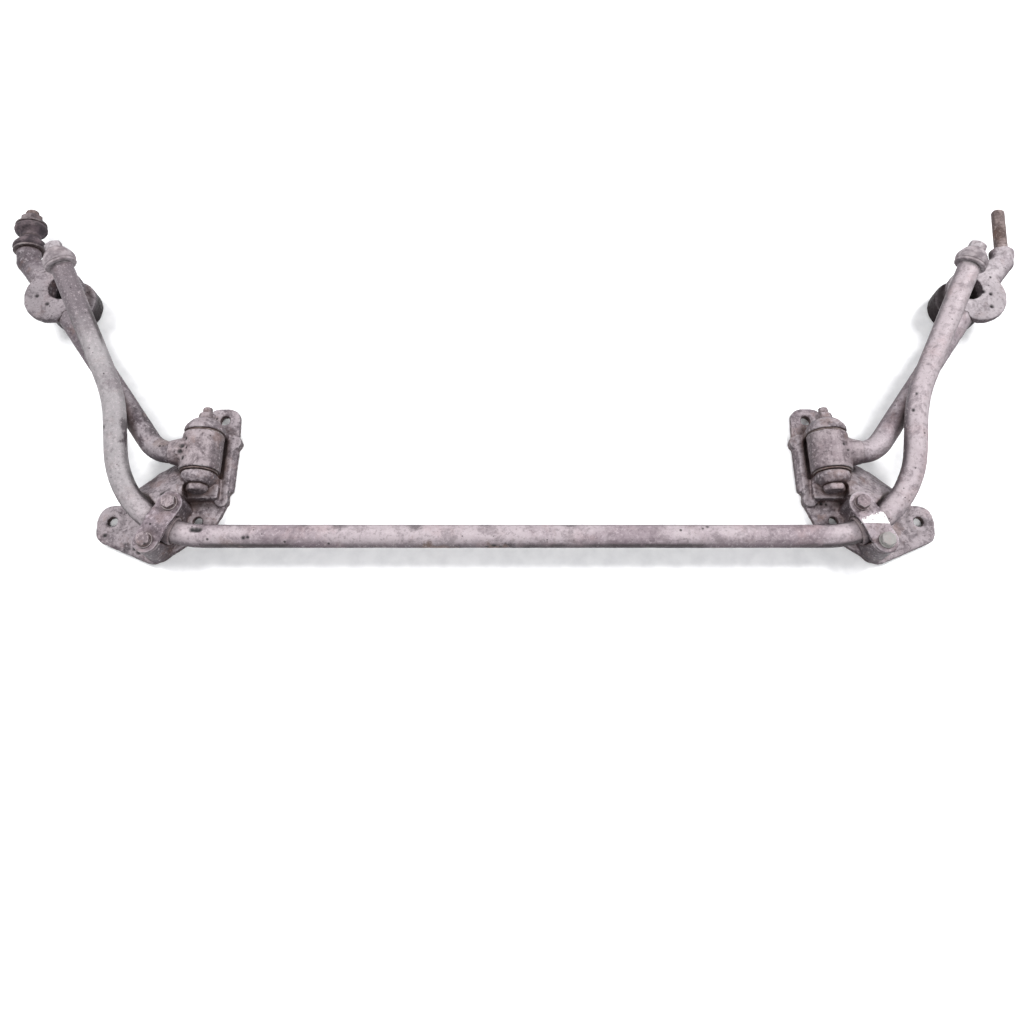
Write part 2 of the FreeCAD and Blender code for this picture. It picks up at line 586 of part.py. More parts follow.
def make_pivot():
    lower_y = size("lug_inner_y") - size("lower_lug_thick")
    nut_y = size("lug_outer_y") + size("upper_lug_thick")
    head = hexagon("PivotHead", "Sizes.pivot_head_flats", "Sizes.pivot_head_height",
                   along((0, -1, 0), (size("pivot_x"), lower_y, size("pivot_z"))))
    shank = solid("Part::Cylinder", "PivotShank", pivot_place(lower_y),
                  Radius="Sizes.pivot_bolt_radius")
    shank.Height = nut_y + size("pivot_nut_height") + size("pivot_thread_end") - lower_y
    keep_pair("pivot_bolt", fuse("PivotBolt", [head, shank]))

    nut = hexagon("PivotNutHex", "Sizes.pivot_nut_flats", "Sizes.pivot_nut_height",
                  pivot_place(nut_y))
    nut_bore = solid("Part::Cylinder", "PivotNutBore", pivot_place(nut_y - 1),
                     Radius="Sizes.pivot_bolt_radius + Sizes.fit_gap",
                     Height="Sizes.pivot_nut_height + 2")
    keep_pair("pivot_nut", cut("PivotNut", nut, nut_bore))

    thick = size("thrust_thick")
    washers = [ring(f"Thrust{index}", "Sizes.thrust_radius",
                    "Sizes.pivot_bolt_radius + Sizes.fit_gap", "Sizes.thrust_thick",
                    pivot_place(level))
               for index, level in enumerate((size("lug_inner_y"), size("lug_outer_y") - thick))]
    keep_pair("pivot_washers", group("PivotWashers", washers))

    sleeve = ring("InnerSleeve", "Sizes.inner_sleeve_radius",
                  "Sizes.pivot_bolt_radius + Sizes.fit_gap",
                  "Sizes.lug_outer_y - Sizes.lug_inner_y - 2 * Sizes.thrust_thick",
                  pivot_place(size("lug_inner_y") + thick))
    keep_pair("pivot_inner_sleeve", sleeve)

    start = size("lug_inner_y") + thick + size("eye_clearance")
    length = "Sizes.lug_outer_y - Sizes.lug_inner_y - 2 * Sizes.thrust_thick - 2 * Sizes.eye_clearance"
    rubber = ring("PivotRubber", "Sizes.rubber_radius",
                  "Sizes.inner_sleeve_radius + Sizes.fit_gap", length, pivot_place(start))
    keep_pair("pivot_rubber", rubber)
    outer = ring("OuterSleeve", "Sizes.outer_sleeve_radius", "Sizes.rubber_radius", length,
                 pivot_place(start))
    keep_pair("pivot_outer_sleeve", outer)

    barrel = solid("Part::Cylinder", "EyeBarrel", pivot_place(start), Radius="Sizes.eye_radius",
                   Height=length)
    root = solid("Part::Cone", "EyeRoot",
                 along((1, 0, 0), (size("pivot_x") + 15, size("arm_y"), size("pivot_z"))),
                 Radius1="Sizes.root_radius", Radius2="Sizes.tube_radius + 0.8",
                 Height="Sizes.root_length + 6")
    bore = solid("Part::Cylinder", "EyeBore", pivot_place(start - 1),
                 Radius="Sizes.outer_sleeve_radius", Height=f"{length} + 2")
    socket = solid("Part::Cylinder", "EyeSocket",
                   along((1, 0, 0), (arm_start.x - 0.1, arm_start.y, arm_start.z)),
                   Radius="Sizes.tube_radius", Height="40")
    eye = cut("ArmEye", fuse("EyeBlank", [barrel, root]), fuse("EyeTools", [bore, socket]))
    keep_pair("arm_eye", eye)


# ---------------------------------------------------------------- control arm

arm_start = Vector(size("pivot_x") + size("eye_radius") + 0.2, size("arm_y"), size("pivot_z"))
arm_corner = Vector(size("arm_corner_x"), size("arm_y"), size("pivot_z"))
arm_heading = heading(size("arm_angle"))
arm_end = arm_corner + arm_heading * size("arm_run")


def make_arm_tube():
    body = new_body("ArmTube")
    route = new_sketch(body, "ArmRoute", "XY_Plane")
    points = [Vector(0, 0, 0), arm_corner - arm_start, arm_end - arm_start]
    add_path(route, points, [size("arm_bend_radius")])
    section = new_sketch(body, "ArmSection", "YZ_Plane")
    add_circle(section, 0, 0, "Sizes.tube_radius")
    add_circle(section, 0, 0, "Sizes.tube_bore")
    pipe = body.newObject("PartDesign::AdditivePipe", "ArmPipe")
    pipe.Profile = section
    pipe.Spine = route
    body.Placement = Placement(arm_start, Rotation())
    keep_pair("arm_tube", body)


STUD_AXIS = Vector(math.sin(math.radians(size("stud_tilt"))),
                   math.cos(math.radians(size("stud_tilt"))), 0)
boss_face = Vector(size("boss_face_x"), size("boss_face_y"), size("stud_z"))


def upright(name, centre_x, centre_y, low_formula, high_formula, radius_formula):
    item = solid("Part::Cylinder", name, Radius=radius_formula,
                 Height=f"{high_formula} - ({low_formula})")
    item.Placement.Base = Vector(centre_x, centre_y, 0)
    item.setExpression("Placement.Base.z", low_formula)
    return item


def stud_place(distance):
    """Placement on the stud's axis, a distance outwards from the boss face."""
    return along(STUD_AXIS, boss_face + STUD_AXIS * distance)


def make_ring_forging():
    """Ring with an offset flange on top and cup below, and a neck that carries the stud boss."""
    ring_x, ring_y = size("ring_x"), size("ring_y")
    cup_x, cup_y = ring_x + size("cup_offset_x"), ring_y + size("cup_offset_y")
    flange_x, flange_y = ring_x + size("flange_offset_x"), ring_y + size("flange_offset_y")
    flange_low = "Sizes.ring_top - Sizes.ring_flange"
    profile = [(0, 0, 0), (size("ring_radius") - 4, 0, 0), (size("ring_radius"), 5, 3),
               (size("ring_radius"), size("ring_flange"), 4), (0, size("ring_flange"), 0)]
    flange = turned("Flange", profile,
                    Placement(Vector(flange_x, flange_y, size("ring_top") - size("ring_flange")),
                              Rotation()))
    cup = upright("Cup", cup_x, cup_y, "Sizes.cup_bottom", flange_low, "Sizes.cup_radius")
    core = upright("Core", ring_x, ring_y, "Sizes.cup_bottom", flange_low,
                   "Sizes.ring_bore + Sizes.ring_wall")
    boss_root = boss_face - STUD_AXIS * size("stud_boss_length")
    necks = []
    for index, (from_x, from_y) in enumerate(((ring_x, ring_y), (flange_x, flange_y))):
        centre = Vector(from_x, from_y, size("stud_z"))
        root = centre + (boss_root - centre).normalize() * (size("ring_bore") + 4.5)
        neck = solid("Part::Cone", f"Neck{index}", along(boss_root - root, root),
                     Radius1="Sizes.neck_radius + 1.3", Radius2="Sizes.neck_radius - 1")
        neck.Height = (boss_root - root).Length
        necks.append(neck)
    knuckle = solid("Part::Sphere", "Knuckle", Radius="Sizes.neck_radius - 0.2")
    knuckle.Placement.Base = boss_root
    boss_length, rim_length = size("stud_boss_length"), 7
    boss = solid("Part::Cone", "StudBoss", stud_place(-boss_length),
                 Radius1="Sizes.neck_radius - 1.5", Radius2="Sizes.stud_boss_radius")
    boss.Height = boss_length - rim_length
    rim = solid("Part::Cylinder", "StudBossRim", stud_place(-rim_length),
                Radius="Sizes.stud_boss_radius")
    rim.Height = rim_length
    blank = fuse("RingBlank", [flange, cup, core, *necks, knuckle, boss, rim])

    bore = upright("RingBore", ring_x, ring_y, "-5", "60", "Sizes.ring_bore")
    socket = solid("Part::Cylinder", "ArmSocket",
                   along(arm_heading * -1, arm_end + arm_heading * 0.1),
                   Radius="Sizes.tube_radius", Height="90")
    stud_hole = solid("Part::Cylinder", "StudHole", stud_place(-size("stud_depth") - 0.1),
                      Radius="Sizes.stud_root_radius", Height="Sizes.stud_depth + 20")
    keep_pair("ring_forging", cut("RingForging", blank, fuse("RingTools", [bore, socket, stud_hole])))


def make_stud():
    """Threaded stud with a bevelled tip; its root is thinner and sunk in the boss."""
    depth, reach, bevel = size("stud_depth"), size("stud_reach"), size("stud_bevel")
    radius, root_radius = size("stud_radius"), size("stud_root_radius")
    foot = depth + size("stud_relief")
    profile = [(0, 0, 0), (root_radius, 0, 0), (root_radius, foot, 0), (radius, foot, 0),
               (radius, depth + reach - bevel, 0), (radius - bevel, depth + reach, 0),
               (0, depth + reach, 0)]
    keep_pair("damper_stud", turned("DamperStud", profile, stud_place(-depth)))


def make_stud_mounting():
    """Two rubber bushes, their cup washers and the nut on the left stud."""
    bore = size("stud_radius") + size("fit_gap")
    wide, waist = size("mount_bush_radius"), size("mount_waist_radius")
    length, washer = size("mount_bush_length"), size("cup_washer_thick")
    rise = size("cup_washer_radius")
    cup = [(bore, 0, 0), (rise, 0, 0.8), (rise, washer, 0.8), (bore, washer, 0)]
    bush = [(bore, 0, 0), (wide - 2.5, 0, 1.5), (wide, 3.5, 3), (wide - 1, length * 0.45, 4),
            (waist, length * 0.8, 3), (waist, length, 0), (bore, length, 0)]
    flipped = [(radius, length - height, rounding) for radius, height, rounding in reversed(bush)]
    inner_bush = turned("MountBushInner", bush, stud_place(washer))
    outer_bush = turned("MountBushOuter", flipped, stud_place(washer + length))
    washers = group("MountWashers", [turned("MountWasherInner", cup, stud_place(0)),
                                     turned("MountWasherOuter", cup,
                                            stud_place(washer + 2 * length))])
    nut_level = 2 * washer + 2 * length
    hexagon_piece = hexagon("MountNutHex", "Sizes.mount_nut_flats", "Sizes.mount_nut_height",
                            stud_place(nut_level))
    nut_bore = solid("Part::Cylinder", "MountNutBore", stud_place(nut_level - 1),
                     Radius="Sizes.stud_radius + Sizes.fit_gap", Height="Sizes.mount_nut_height + 2")
    nut = cut("MountNut", hexagon_piece, nut_bore)
    for name, item in (("bush_inner", inner_bush), ("bush_outer", outer_bush),
                       ("washers", washers), ("nut", nut)):
        keep("left_damper_" + name, mirrored(item, "LeftDamper" + name.title().replace("_", "")))


make_bar()
make_bar_end()
make_clamp()
make_bracket()
make_pivot()
make_arm_tube()
make_ring_forging()
make_stud()
make_stud_mounting()
doc.recompute()

print(f"clamp centre: {clamp_centre.x:.2f}, {clamp_centre.y:.2f}, {clamp_centre.z:.2f}")
for item in doc.Objects:
    if "Invalid" in item.State or "Error" in item.State:
        raise RuntimeError(f"{item.Name} failed: {item.State}")
for node, item in sorted(pieces.items()):
    shape = item.Shape
    if shape.isNull() or not shape.isValid() or not shape.Solids:
        raise RuntimeError(f"{node} has no valid solid")
    shape.exportStep(f"parts/{node}.step")
    box = shape.BoundBox
    print(f"{node}: {len(shape.Solids)} solid(s), {shape.Volume / 1000:.1f} cm3, "
          f"x {box.XMin:.1f}..{box.XMax:.1f}, y {box.YMin:.1f}..{box.YMax:.1f}, "
          f"z {box.ZMin:.1f}..{box.ZMax:.1f}")
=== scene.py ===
import json
import math

import bmesh
import bpy
import numpy as np
from mathutils import Euler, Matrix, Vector


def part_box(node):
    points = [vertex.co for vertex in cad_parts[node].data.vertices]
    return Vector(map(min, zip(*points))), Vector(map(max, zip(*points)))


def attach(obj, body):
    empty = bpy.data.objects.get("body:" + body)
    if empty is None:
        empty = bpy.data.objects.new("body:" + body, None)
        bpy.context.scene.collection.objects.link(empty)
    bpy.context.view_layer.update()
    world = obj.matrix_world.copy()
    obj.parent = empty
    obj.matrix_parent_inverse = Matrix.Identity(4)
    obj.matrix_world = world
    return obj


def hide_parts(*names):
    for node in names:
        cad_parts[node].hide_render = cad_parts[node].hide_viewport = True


# Looks for the anti-roll bar assembly. Every piece is a finely divided copy of its CAD node: corners
# rounded as cast, forged or worn, surfaces roughened, threads and pits cut in. Only the sleeves and
# the rubber inside the pivots are the CAD nodes themselves.

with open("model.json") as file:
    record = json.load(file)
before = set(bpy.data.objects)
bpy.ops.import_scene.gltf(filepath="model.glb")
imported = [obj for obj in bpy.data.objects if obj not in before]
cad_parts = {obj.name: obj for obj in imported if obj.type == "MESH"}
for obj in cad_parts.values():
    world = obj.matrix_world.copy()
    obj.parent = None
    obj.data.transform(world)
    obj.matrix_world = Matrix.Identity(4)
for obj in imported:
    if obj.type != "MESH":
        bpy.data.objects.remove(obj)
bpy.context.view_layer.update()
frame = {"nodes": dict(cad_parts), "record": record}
NODES = frame["nodes"]
BODIES = frame["record"]["behaviour"]["bodies"]
BODY_OF = {node: body for body, nodes in BODIES.items() for node in nodes}
MOUNTS = {mount["name"]: mount for mount in frame["record"]["mounts"]}
STUD = MOUNTS["right_damper_stud"]
MM = 0.001


def sided(side, point):
    """A point given for the right-hand side, mirrored for the left."""
    return (point[0] if side == "right" else -point[0], point[1], point[2])


# ------------------------------------------------------------------ camera, light and floor

CAMERA_PLACE = (-0.004, -0.3025, 1.029)
CAMERA_TILT = 25.0  # degrees off straight down
KEY_POWERS = {"right": 118, "left": 96}
FILL_POWER = 44
FLOOR_DROP = 0.4 * MM  # keeps the floor just below the brackets' feet


def make_camera():
    """Seen from above and in front, as by a person standing at the bar's middle."""
    data = bpy.data.cameras.new("camera")
    data.sensor_width = 36.0
    data.lens = 33.4
    data.shift_y = -0.129
    data.clip_end = 50.0
    camera = bpy.data.objects.new("camera", data)
    camera.location = CAMERA_PLACE
    camera.rotation_euler = Euler((math.radians(CAMERA_TILT), 0, 0))
    bpy.context.scene.collection.objects.link(camera)
    bpy.context.scene.camera = camera


def make_area_light(name, location, size, power):
    """A square lamp, turned to the middle of the object."""
    data = bpy.data.lights.new(name, "AREA")
    data.shape = "SQUARE"
    data.size = size
    data.energy = power
    light = bpy.data.objects.new(name, data)
    light.location = location
    aim = Vector((0, 0.12, 0)) - Vector(location)
    light.rotation_euler = aim.to_track_quat("-Z", "Y").to_euler()
    bpy.context.scene.collection.objects.link(light)


def make_lights():
    world = bpy.data.worlds.new("studio")
    world.use_nodes = True
    background = world.node_tree.nodes["Background"]
    background.inputs["Color"].default_value = (0.96, 0.97, 1.0, 1)
    background.inputs["Strength"].default_value = 0.50
    bpy.context.scene.world = world
    bpy.context.scene.view_settings.view_transform = "Standard"
    for side, power in KEY_POWERS.items():
        make_area_light(f"key_{side}", sided(side, (2.2, 1.3, 2.4)), 0.9, power)
    make_area_light("fill_front", (0.2, -1.2, 2.8), 1.0, FILL_POWER)


def make_floor():
    half = 6.0
    mesh = bpy.data.meshes.new("floor")
    corners = [(-half, -half, 0), (half, -half, 0), (half, half, 0), (-half, half, 0)]
    mesh.from_pydata(corners, [], [(0, 1, 2, 3)])
    floor = bpy.data.objects.new("floor", mesh)
    floor.location.z = -FLOOR_DROP
    bpy.context.scene.collection.objects.link(floor)
    paint = Painter("pale_concrete")
    fine = paint.noise(60, 6)
    colour = paint.ramp(fine, [(0.30, (0.80, 0.80, 0.81)), (0.62, (0.90, 0.90, 0.905))])
    paint.finish(colour, roughness=0.9, bump=fine, bump_depth=0.15 * MM)
    mesh.materials.append(paint.material)


# ------------------------------------------------------------------ material nodes

class Painter:
    """Builds one procedural material in the frame's own coordinates."""

    def __init__(self, name, shift=0.0):
        self.material = bpy.data.materials.new(name)
        self.material.use_nodes = True
        self.tree = self.material.node_tree
        self.shader = self.tree.nodes["Principled BSDF"]
        place = self.tree.nodes.new("ShaderNodeTexCoord")
        mapping = self.tree.nodes.new("ShaderNodeMapping")
        mapping.inputs["Location"].default_value = (shift, shift * 1.7, -shift)
        self.tree.links.new(place.outputs["Object"], mapping.inputs["Vector"])
        self.object_place = place.outputs["Object"]
        self.place = mapping.outputs["Vector"]

    def put(self, socket, value):
        """Link a socket, or set it to a number or colour."""
        if isinstance(value, bpy.types.NodeSocket):
            self.tree.links.new(value, socket)
        elif isinstance(value, tuple):
            opaque = (1,) if len(value) == 3 and len(socket.default_value) == 4 else ()
            socket.default_value = value + opaque
        else:
            socket.default_value = value

    def noise(self, scale, detail, rough=0.55, distortion=0.0):
        """Clouds from 0 to 1, with features of about 1 / scale metres."""
        node = self.tree.nodes.new("ShaderNodeTexNoise")
        self.put(node.inputs["Vector"], self.place)
        self.put(node.inputs["Scale"], scale)
        self.put(node.inputs["Detail"], detail)
        self.put(node.inputs["Roughness"], rough)
        self.put(node.inputs["Distortion"], distortion)
        return node.outputs["Fac"]

    def math(self, operation, first, second=0.0, clamp=False):
        node = self.tree.nodes.new("ShaderNodeMath")
        node.operation = operation
        node.use_clamp = clamp
        self.put(node.inputs[0], first)
        self.put(node.inputs[1], second)
        return node.outputs[0]

    def remap(self, value, low, high, to_low=0.0, to_high=1.0):
        """Value from low to high, stretched smoothly to another range and clamped."""
        node = self.tree.nodes.new("ShaderNodeMapRange")
        node.interpolation_type = "SMOOTHSTEP"
        for index, number in enumerate((value, low, high, to_low, to_high)):
            self.put(node.inputs[index], number)
        return node.outputs[0]

    def mix(self, factor, first, second):
        """The first colour where the factor is 0, the second where it is 1."""
        node = self.tree.nodes.new("ShaderNodeMix")
        node.data_type = "RGBA"
        self.put(node.inputs["Factor"], factor)
        self.put(node.inputs[6], first)
        self.put(node.inputs[7], second)
        return node.outputs[2]

    def ramp(self, factor, stops):
        """Colours given at points from 0 to 1, blended in between."""
        node = self.tree.nodes.new("ShaderNodeValToRGB")
        self.put(node.inputs["Fac"], factor)
        elements = node.color_ramp.elements
        while len(elements) < len(stops):
            elements.new(0.5)
        for element, (position, colour) in zip(elements, stops):
            element.position = position
            element.color = (*colour, 1)
        return node.outputs["Color"]

    def spots(self, scale, share, radius):
        """Scattered round spots: one in a share of the cells holds a spot of that radius."""
        node = self.tree.nodes.new("ShaderNodeTexVoronoi")
        self.put(node.inputs["Vector"], self.place)
        self.put(node.inputs["Scale"], scale)
        near = self.remap(node.outputs["Distance"], radius, radius * 0.45)
        split = self.tree.nodes.new("ShaderNodeSeparateColor")
        self.put(split.inputs["Color"], node.outputs["Color"])
        chosen = self.math("LESS_THAN", split.outputs[0], share)
        return self.math("MULTIPLY", near, chosen)

    def distance_from(self, centre):
        """How far the surface lies from a point of the frame."""
        node = self.tree.nodes.new("ShaderNodeVectorMath")
        node.operation = "DISTANCE"
        self.put(node.inputs[0], self.object_place)
        node.inputs[1].default_value = centre
        return node.outputs["Value"]

    def from_point(self, centre):
        """The surface's x, y and z measured from a point of the frame."""
        local = self.tree.nodes.new("ShaderNodeVectorMath")
        local.operation = "SUBTRACT"
        self.put(local.inputs[0], self.object_place)
        local.inputs[1].default_value = centre
        split = self.tree.nodes.new("ShaderNodeSeparateXYZ")
        self.put(split.inputs[0], local.outputs["Vector"])
        return split.outputs["X"], split.outputs["Y"], split.outputs["Z"]

    def attribute(self, name):
        """A number that the mesh holds at each of its points."""
        node = self.tree.nodes.new("ShaderNodeAttribute")
        node.attribute_name = name
        return node.outputs["Fac"]

    def crevice(self, distance):
        """1 in corners and under neighbours, 0 in the open."""
        node = self.tree.nodes.new("ShaderNodeAmbientOcclusion")
        node.samples = 6
        self.put(node.inputs["Distance"], distance)
        return self.remap(node.outputs["AO"], 0.95, 0.25)

    def upward(self):
        """1 where the surface faces up, 0 on its sides and below."""
        node = self.tree.nodes.new("ShaderNodeNewGeometry")
        split = self.tree.nodes.new("ShaderNodeSeparateXYZ")
        self.put(split.inputs[0], node.outputs["Normal"])
        return self.remap(split.outputs["Z"], 0.2, 0.95)

    def finish(self, colour, roughness, bump, bump_depth, metallic=0.0, specular=0.5):
        """Connect the shader; the bump's height is in shares of its depth in metres."""
        self.put(self.shader.inputs["Base Color"], colour)
        self.put(self.shader.inputs["Roughness"], roughness)
        self.put(self.shader.inputs["Metallic"], metallic)
        self.put(self.shader.inputs["Specular IOR Level"], specular)
        node = self.tree.nodes.new("ShaderNodeBump")
        self.put(node.inputs["Height"], bump)
        self.put(node.inputs["Distance"], bump_depth)
        self.put(node.inputs["Strength"], 1.0)
        self.put(self.shader.inputs["Normal"], node.outputs["Normal"])


RUST = (0.098, 0.048, 0.034)
PALE_RUST = (0.160, 0.100, 0.085)
# Near-black for painted shade in corners, and for the soot and shade on the sides.
GRIME_AND_SHADE = (0.030, 0.022, 0.024)
# Painted shade for the sides and the underside.
UNDERSIDE_SHADE = (0.036, 0.028, 0.031)
LOW_DARK = (0.011, 0.007, 0.008)
HOLE = (0.016, 0.012, 0.014)
DENT = (0.012, 0.010, 0.011)
PIT_SHARE = 0.06


def tinted(colour, *factors):
    """A colour with each of its channels multiplied."""
    return tuple(channel * factor for channel, factor in zip(colour, factors))


class Metal(Painter):
    """Steel or iron whose colour is built up in layers."""

    def __init__(self, name, light, dark, shift, mottling):
        super().__init__(name, shift)
        self.light, self.dark, self.mottling = light, dark, mottling
        self.stain = tinted(dark, 0.62, 0.56, 0.60)
        self.pale = tinted(light, 1.42, 1.44, 1.44)
        self.blotches = self.noise(62, 8, 0.66, 0.5)
        self.flecks = self.noise(310, 5, 0.62)
        self.grain = self.noise(1100, 3, 0.6)
        # Painted light and shade: the base colour runs from dark on the sides and underside to light
        # where the surface faces up, broken up by the blotches.
        self.shade_by_facing = self.math("ADD", self.upward(), self.math("MULTIPLY", self.blotches, 0.35))
        self.colour = self.mix(self.remap(self.shade_by_facing, 0.20, 1.10), dark, light)

    def layer(self, factor, colour):
        """Lay a colour over what is there, as strongly as the factor says."""
        self.colour = self.mix(factor, self.colour, colour)

    def dust(self):
        """Cloudy dust on what faces up, while painted shade darkens the sides and the underside."""
        clouds = self.noise(11, 5, 0.62, 0.3)
        self.layer(self.remap(clouds, 0.46, 0.66, 0.0, 0.55), tinted(self.dark, 0.92, 0.74, 0.86))
        patches = self.noise(26, 6, 0.65)
        self.layer(self.remap(patches, 0.50, 0.68, 0.0, 0.45), tinted(self.light, 0.86, 0.72, 0.70))
        self.layer(self.remap(self.blotches, 0.48, 0.62, 0.0, 0.72 * self.mottling), self.stain)
        # Painted shade: the sides and underside that turn away from above are darkened.
        self.layer(self.math("MULTIPLY", self.remap(self.shade_by_facing, 0.42, 0.05), 0.65), UNDERSIDE_SHADE)

    def soak(self, stains):
        """Old stains with uneven rims, each round its own point of the frame."""
        for centre, reach, strength, tint in stains:
            rim = min(reach * 3.0, 60 * MM)
            uneven = self.math("MULTIPLY", self.math("SUBTRACT", self.blotches, 0.5), rim)
            away = self.math("ADD", self.distance_from(centre), uneven)
            self.layer(self.remap(away, reach * 1.1, reach * 0.5, 0.0, strength), tint)

    def speckle(self):
        """Pale and dark flecks, and the finest grain of the dust."""
        self.layer(self.remap(self.flecks, 0.53, 0.66, 0.0, 0.60 * self.mottling), self.pale)
        self.layer(self.remap(self.flecks, 0.47, 0.36, 0.0, 0.65 * self.mottling), self.stain)
        self.layer(self.remap(self.grain, 0.56, 0.72, 0.0, 0.35), self.pale)

    def corrode(self, rust):
        """Rust in patches and in every corner and hollow, and painted shade that darkens the occluded
        corners in patches.
        """
        corner = self.crevice(11 * MM)
        hollow = self.remap(self.attribute("edge"), -0.08, -0.60)
        near = self.math("MULTIPLY", self.math("MAXIMUM", corner, hollow), min(rust * 2.0, 1.0))
        patches = self.remap(self.noise(44, 7, 0.68), 0.54, 0.66)
        rusty = self.math("MAXIMUM", self.math("MULTIPLY", patches, rust), near, clamp=True)
        self.layer(rusty, self.mix(self.remap(self.blotches, 0.4, 0.6), RUST, PALE_RUST))
        # Painted shade: near-black laid in patches where corners and neighbours occlude the surface.
        corner_shade = self.math("MULTIPLY", corner, self.remap(self.blotches, 0.25, 0.58))
        self.layer(self.math("MULTIPLY", corner_shade, 0.8), GRIME_AND_SHADE)

    def darken_below(self, height):
        """Near-black on all that lies below a height of the frame."""
        above = self.from_point((0, 0, height))[2]
        uneven = self.math("ADD", above, self.math("MULTIPLY", self.blotches, 8 * MM))
        # Darker towards the bottom: near-black below the height, with an uneven edge.
        self.layer(self.remap(uneven, 4 * MM, -5 * MM, 0.0, 0.96), LOW_DARK)

    def soot_and_side_shade(self, strength):
        """Soot that ran along the sides of a long piece, laid only where the sides turn away from above,
        so it also paints shade there.
        """
        ran = self.math("MULTIPLY", self.remap(self.noise(9, 3, 0.5), 0.50, 0.62), strength)
        # Painted shade together with the soot: the mask darkens only the sides that turn away from
        # above.
        sides = self.remap(self.upward(), 0.75, 0.15)
        broken = self.math("MULTIPLY", sides, self.remap(self.blotches, 0.3, 0.5))
        self.layer(self.math("MULTIPLY", ran, broken), GRIME_AND_SHADE)

    def wear(self):
        """Bright metal on rubbed edges."""
        worn = self.remap(self.attribute("edge"), 0.12, 0.80)
        worn = self.math("MULTIPLY", worn, self.remap(self.blotches, 0.60, 0.38))
        self.layer(self.math("MULTIPLY", worn, 0.55), (self.light[0] * 1.7,) * 3)

    def pitting(self):
        """Dark pits of two sizes and the darkened dents; returns where the pits are."""
        large, small = self.spots(85, PIT_SHARE, 0.17), self.spots(210, PIT_SHARE * 1.2, 0.22)
        holes = self.math("MAXIMUM", large, small)
        self.layer(self.math("MULTIPLY", holes, 0.85), HOLE)
        self.layer(self.attribute("pit"), DENT)
        return holes

    def relief(self, holes):
        """Height of the fine surface, in shares of the bump's depth."""
        coarse = self.math("MULTIPLY", self.blotches, 0.5)
        height = self.math("ADD", coarse, self.math("MULTIPLY", self.flecks, 0.35))
        height = self.math("ADD", height, self.math("MULTIPLY", self.grain, 0.12))
        return self.math("SUBTRACT", height, self.math("MULTIPLY", holes, 0.5))


def dirty_metal(name, light, dark, shift, rust, metallic=0.30, specular=0.4, mottling=1.0, stains=(),
                dark_below=None, sooty_side_shade=0.0, paint_mark=None):
    """Bare steel or iron under road dust: mottled, rusty in corners, pitted, bright on its edges, with
    painted light on what faces up and painted shade on its sides, underside and corners.
    """
    metal = Metal(name, light, dark, shift, mottling)
    metal.dust()
    metal.soak(stains)
    metal.speckle()
    metal.corrode(rust)
    if dark_below is not None:
        metal.darken_below(dark_below)
    if sooty_side_shade:
        metal.soot_and_side_shade(sooty_side_shade)
    metal.wear()
    holes = metal.pitting()
    roughness = metal.remap(metal.flecks, 0.35, 0.65, 0.48, 0.76)
    if paint_mark is not None:
        pattern, centre, paint_colour = paint_mark
        mark = pattern(metal, centre)
        metal.layer(mark, paint_colour)
        roughness = metal.remap(mark, 0.0, 1.0, roughness, 0.75)
    metal.finish(metal.colour, roughness, metal.relief(holes), 0.60 * MM, metallic, specular)
    return metal.material


def placed(node, stains):
    """Stains given by shares of a node's box, as points of the frame with a reach in metres."""
    low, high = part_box(node)
    size = high - low
    return [(low + Vector([size[axis] * share[axis] for axis in range(3)]), reach * MM, strength, tint)
            for share, reach, strength, tint in stains]


def painted_patch(paint, centre):
    """A torn daub of paint: straight along its lower side, ragged above and on its left."""
    across, up, _ = paint.from_point(centre)
    ragged = paint.math("MULTIPLY", paint.math("SUBTRACT", paint.noise(190, 6, 0.75), 0.5), 30 * MM)
    left = paint.remap(paint.math("ADD", across, ragged), -12.5 * MM, -12.0 * MM)
    bottom = paint.remap(up, -2.8 * MM, -2.3 * MM)
    slope = paint.math("ADD", paint.math("MULTIPLY", across, 0.42), 6.5 * MM)
    over = paint.math("SUBTRACT", up, paint.math("ADD", slope, ragged))
    top = paint.remap(over, 0.3 * MM, -0.3 * MM)
    flaked = paint.remap(paint.noise(420, 5, 0.7), 0.415, 0.45)
    mark = paint.math("MULTIPLY", paint.math("MULTIPLY", left, bottom), top)
    return paint.math("MULTIPLY", mark, flaked)


def pale_spot(paint, centre):
    """Pale deposit on the head of one bolt."""
    across, up, _ = paint.from_point(centre)
    squares = paint.math("ADD", paint.math("MULTIPLY", across, across), paint.math("MULTIPLY", up, up))
    near = paint.remap(paint.math("SQRT", squares), 10 * MM, 8 * MM)
    return paint.math("MULTIPLY", near, paint.remap(paint.noise(120, 5, 0.6), 0.30, 0.62, 0.35, 0.85))


DRY_DUST = (0.165, 0.128, 0.128)
SCUFFED = (0.17, 0.13, 0.125)


def perished_rubber(name, light, dark, shift, dust):
    """Old rubber: dull black, crazed, with brown dust on what faces up."""
    paint = Painter(name, shift)
    blotches = paint.noise(110, 6, 0.6)
    grain = paint.noise(1300, 2, 0.5)
    colour = paint.mix(paint.remap(blotches, 0.38, 0.66), dark, light)
    settled = paint.math("MULTIPLY", paint.upward(), paint.remap(paint.noise(55, 5, 0.65), 0.36, 0.64))
    colour = paint.mix(paint.math("MULTIPLY", settled, dust), colour, DRY_DUST)
    edge = paint.remap(paint.attribute("edge"), 0.10, 0.7, 0.0, 0.5)
    colour = paint.mix(edge, colour, SCUFFED)
    height = paint.math("ADD", paint.math("MULTIPLY", blotches, 0.7), paint.math("MULTIPLY", grain, 0.3))
    paint.finish(colour, 0.78, height, 0.4 * MM, specular=0.3)
    return paint.material


# ------------------------------------------------------------------ shaping the CAD meshes

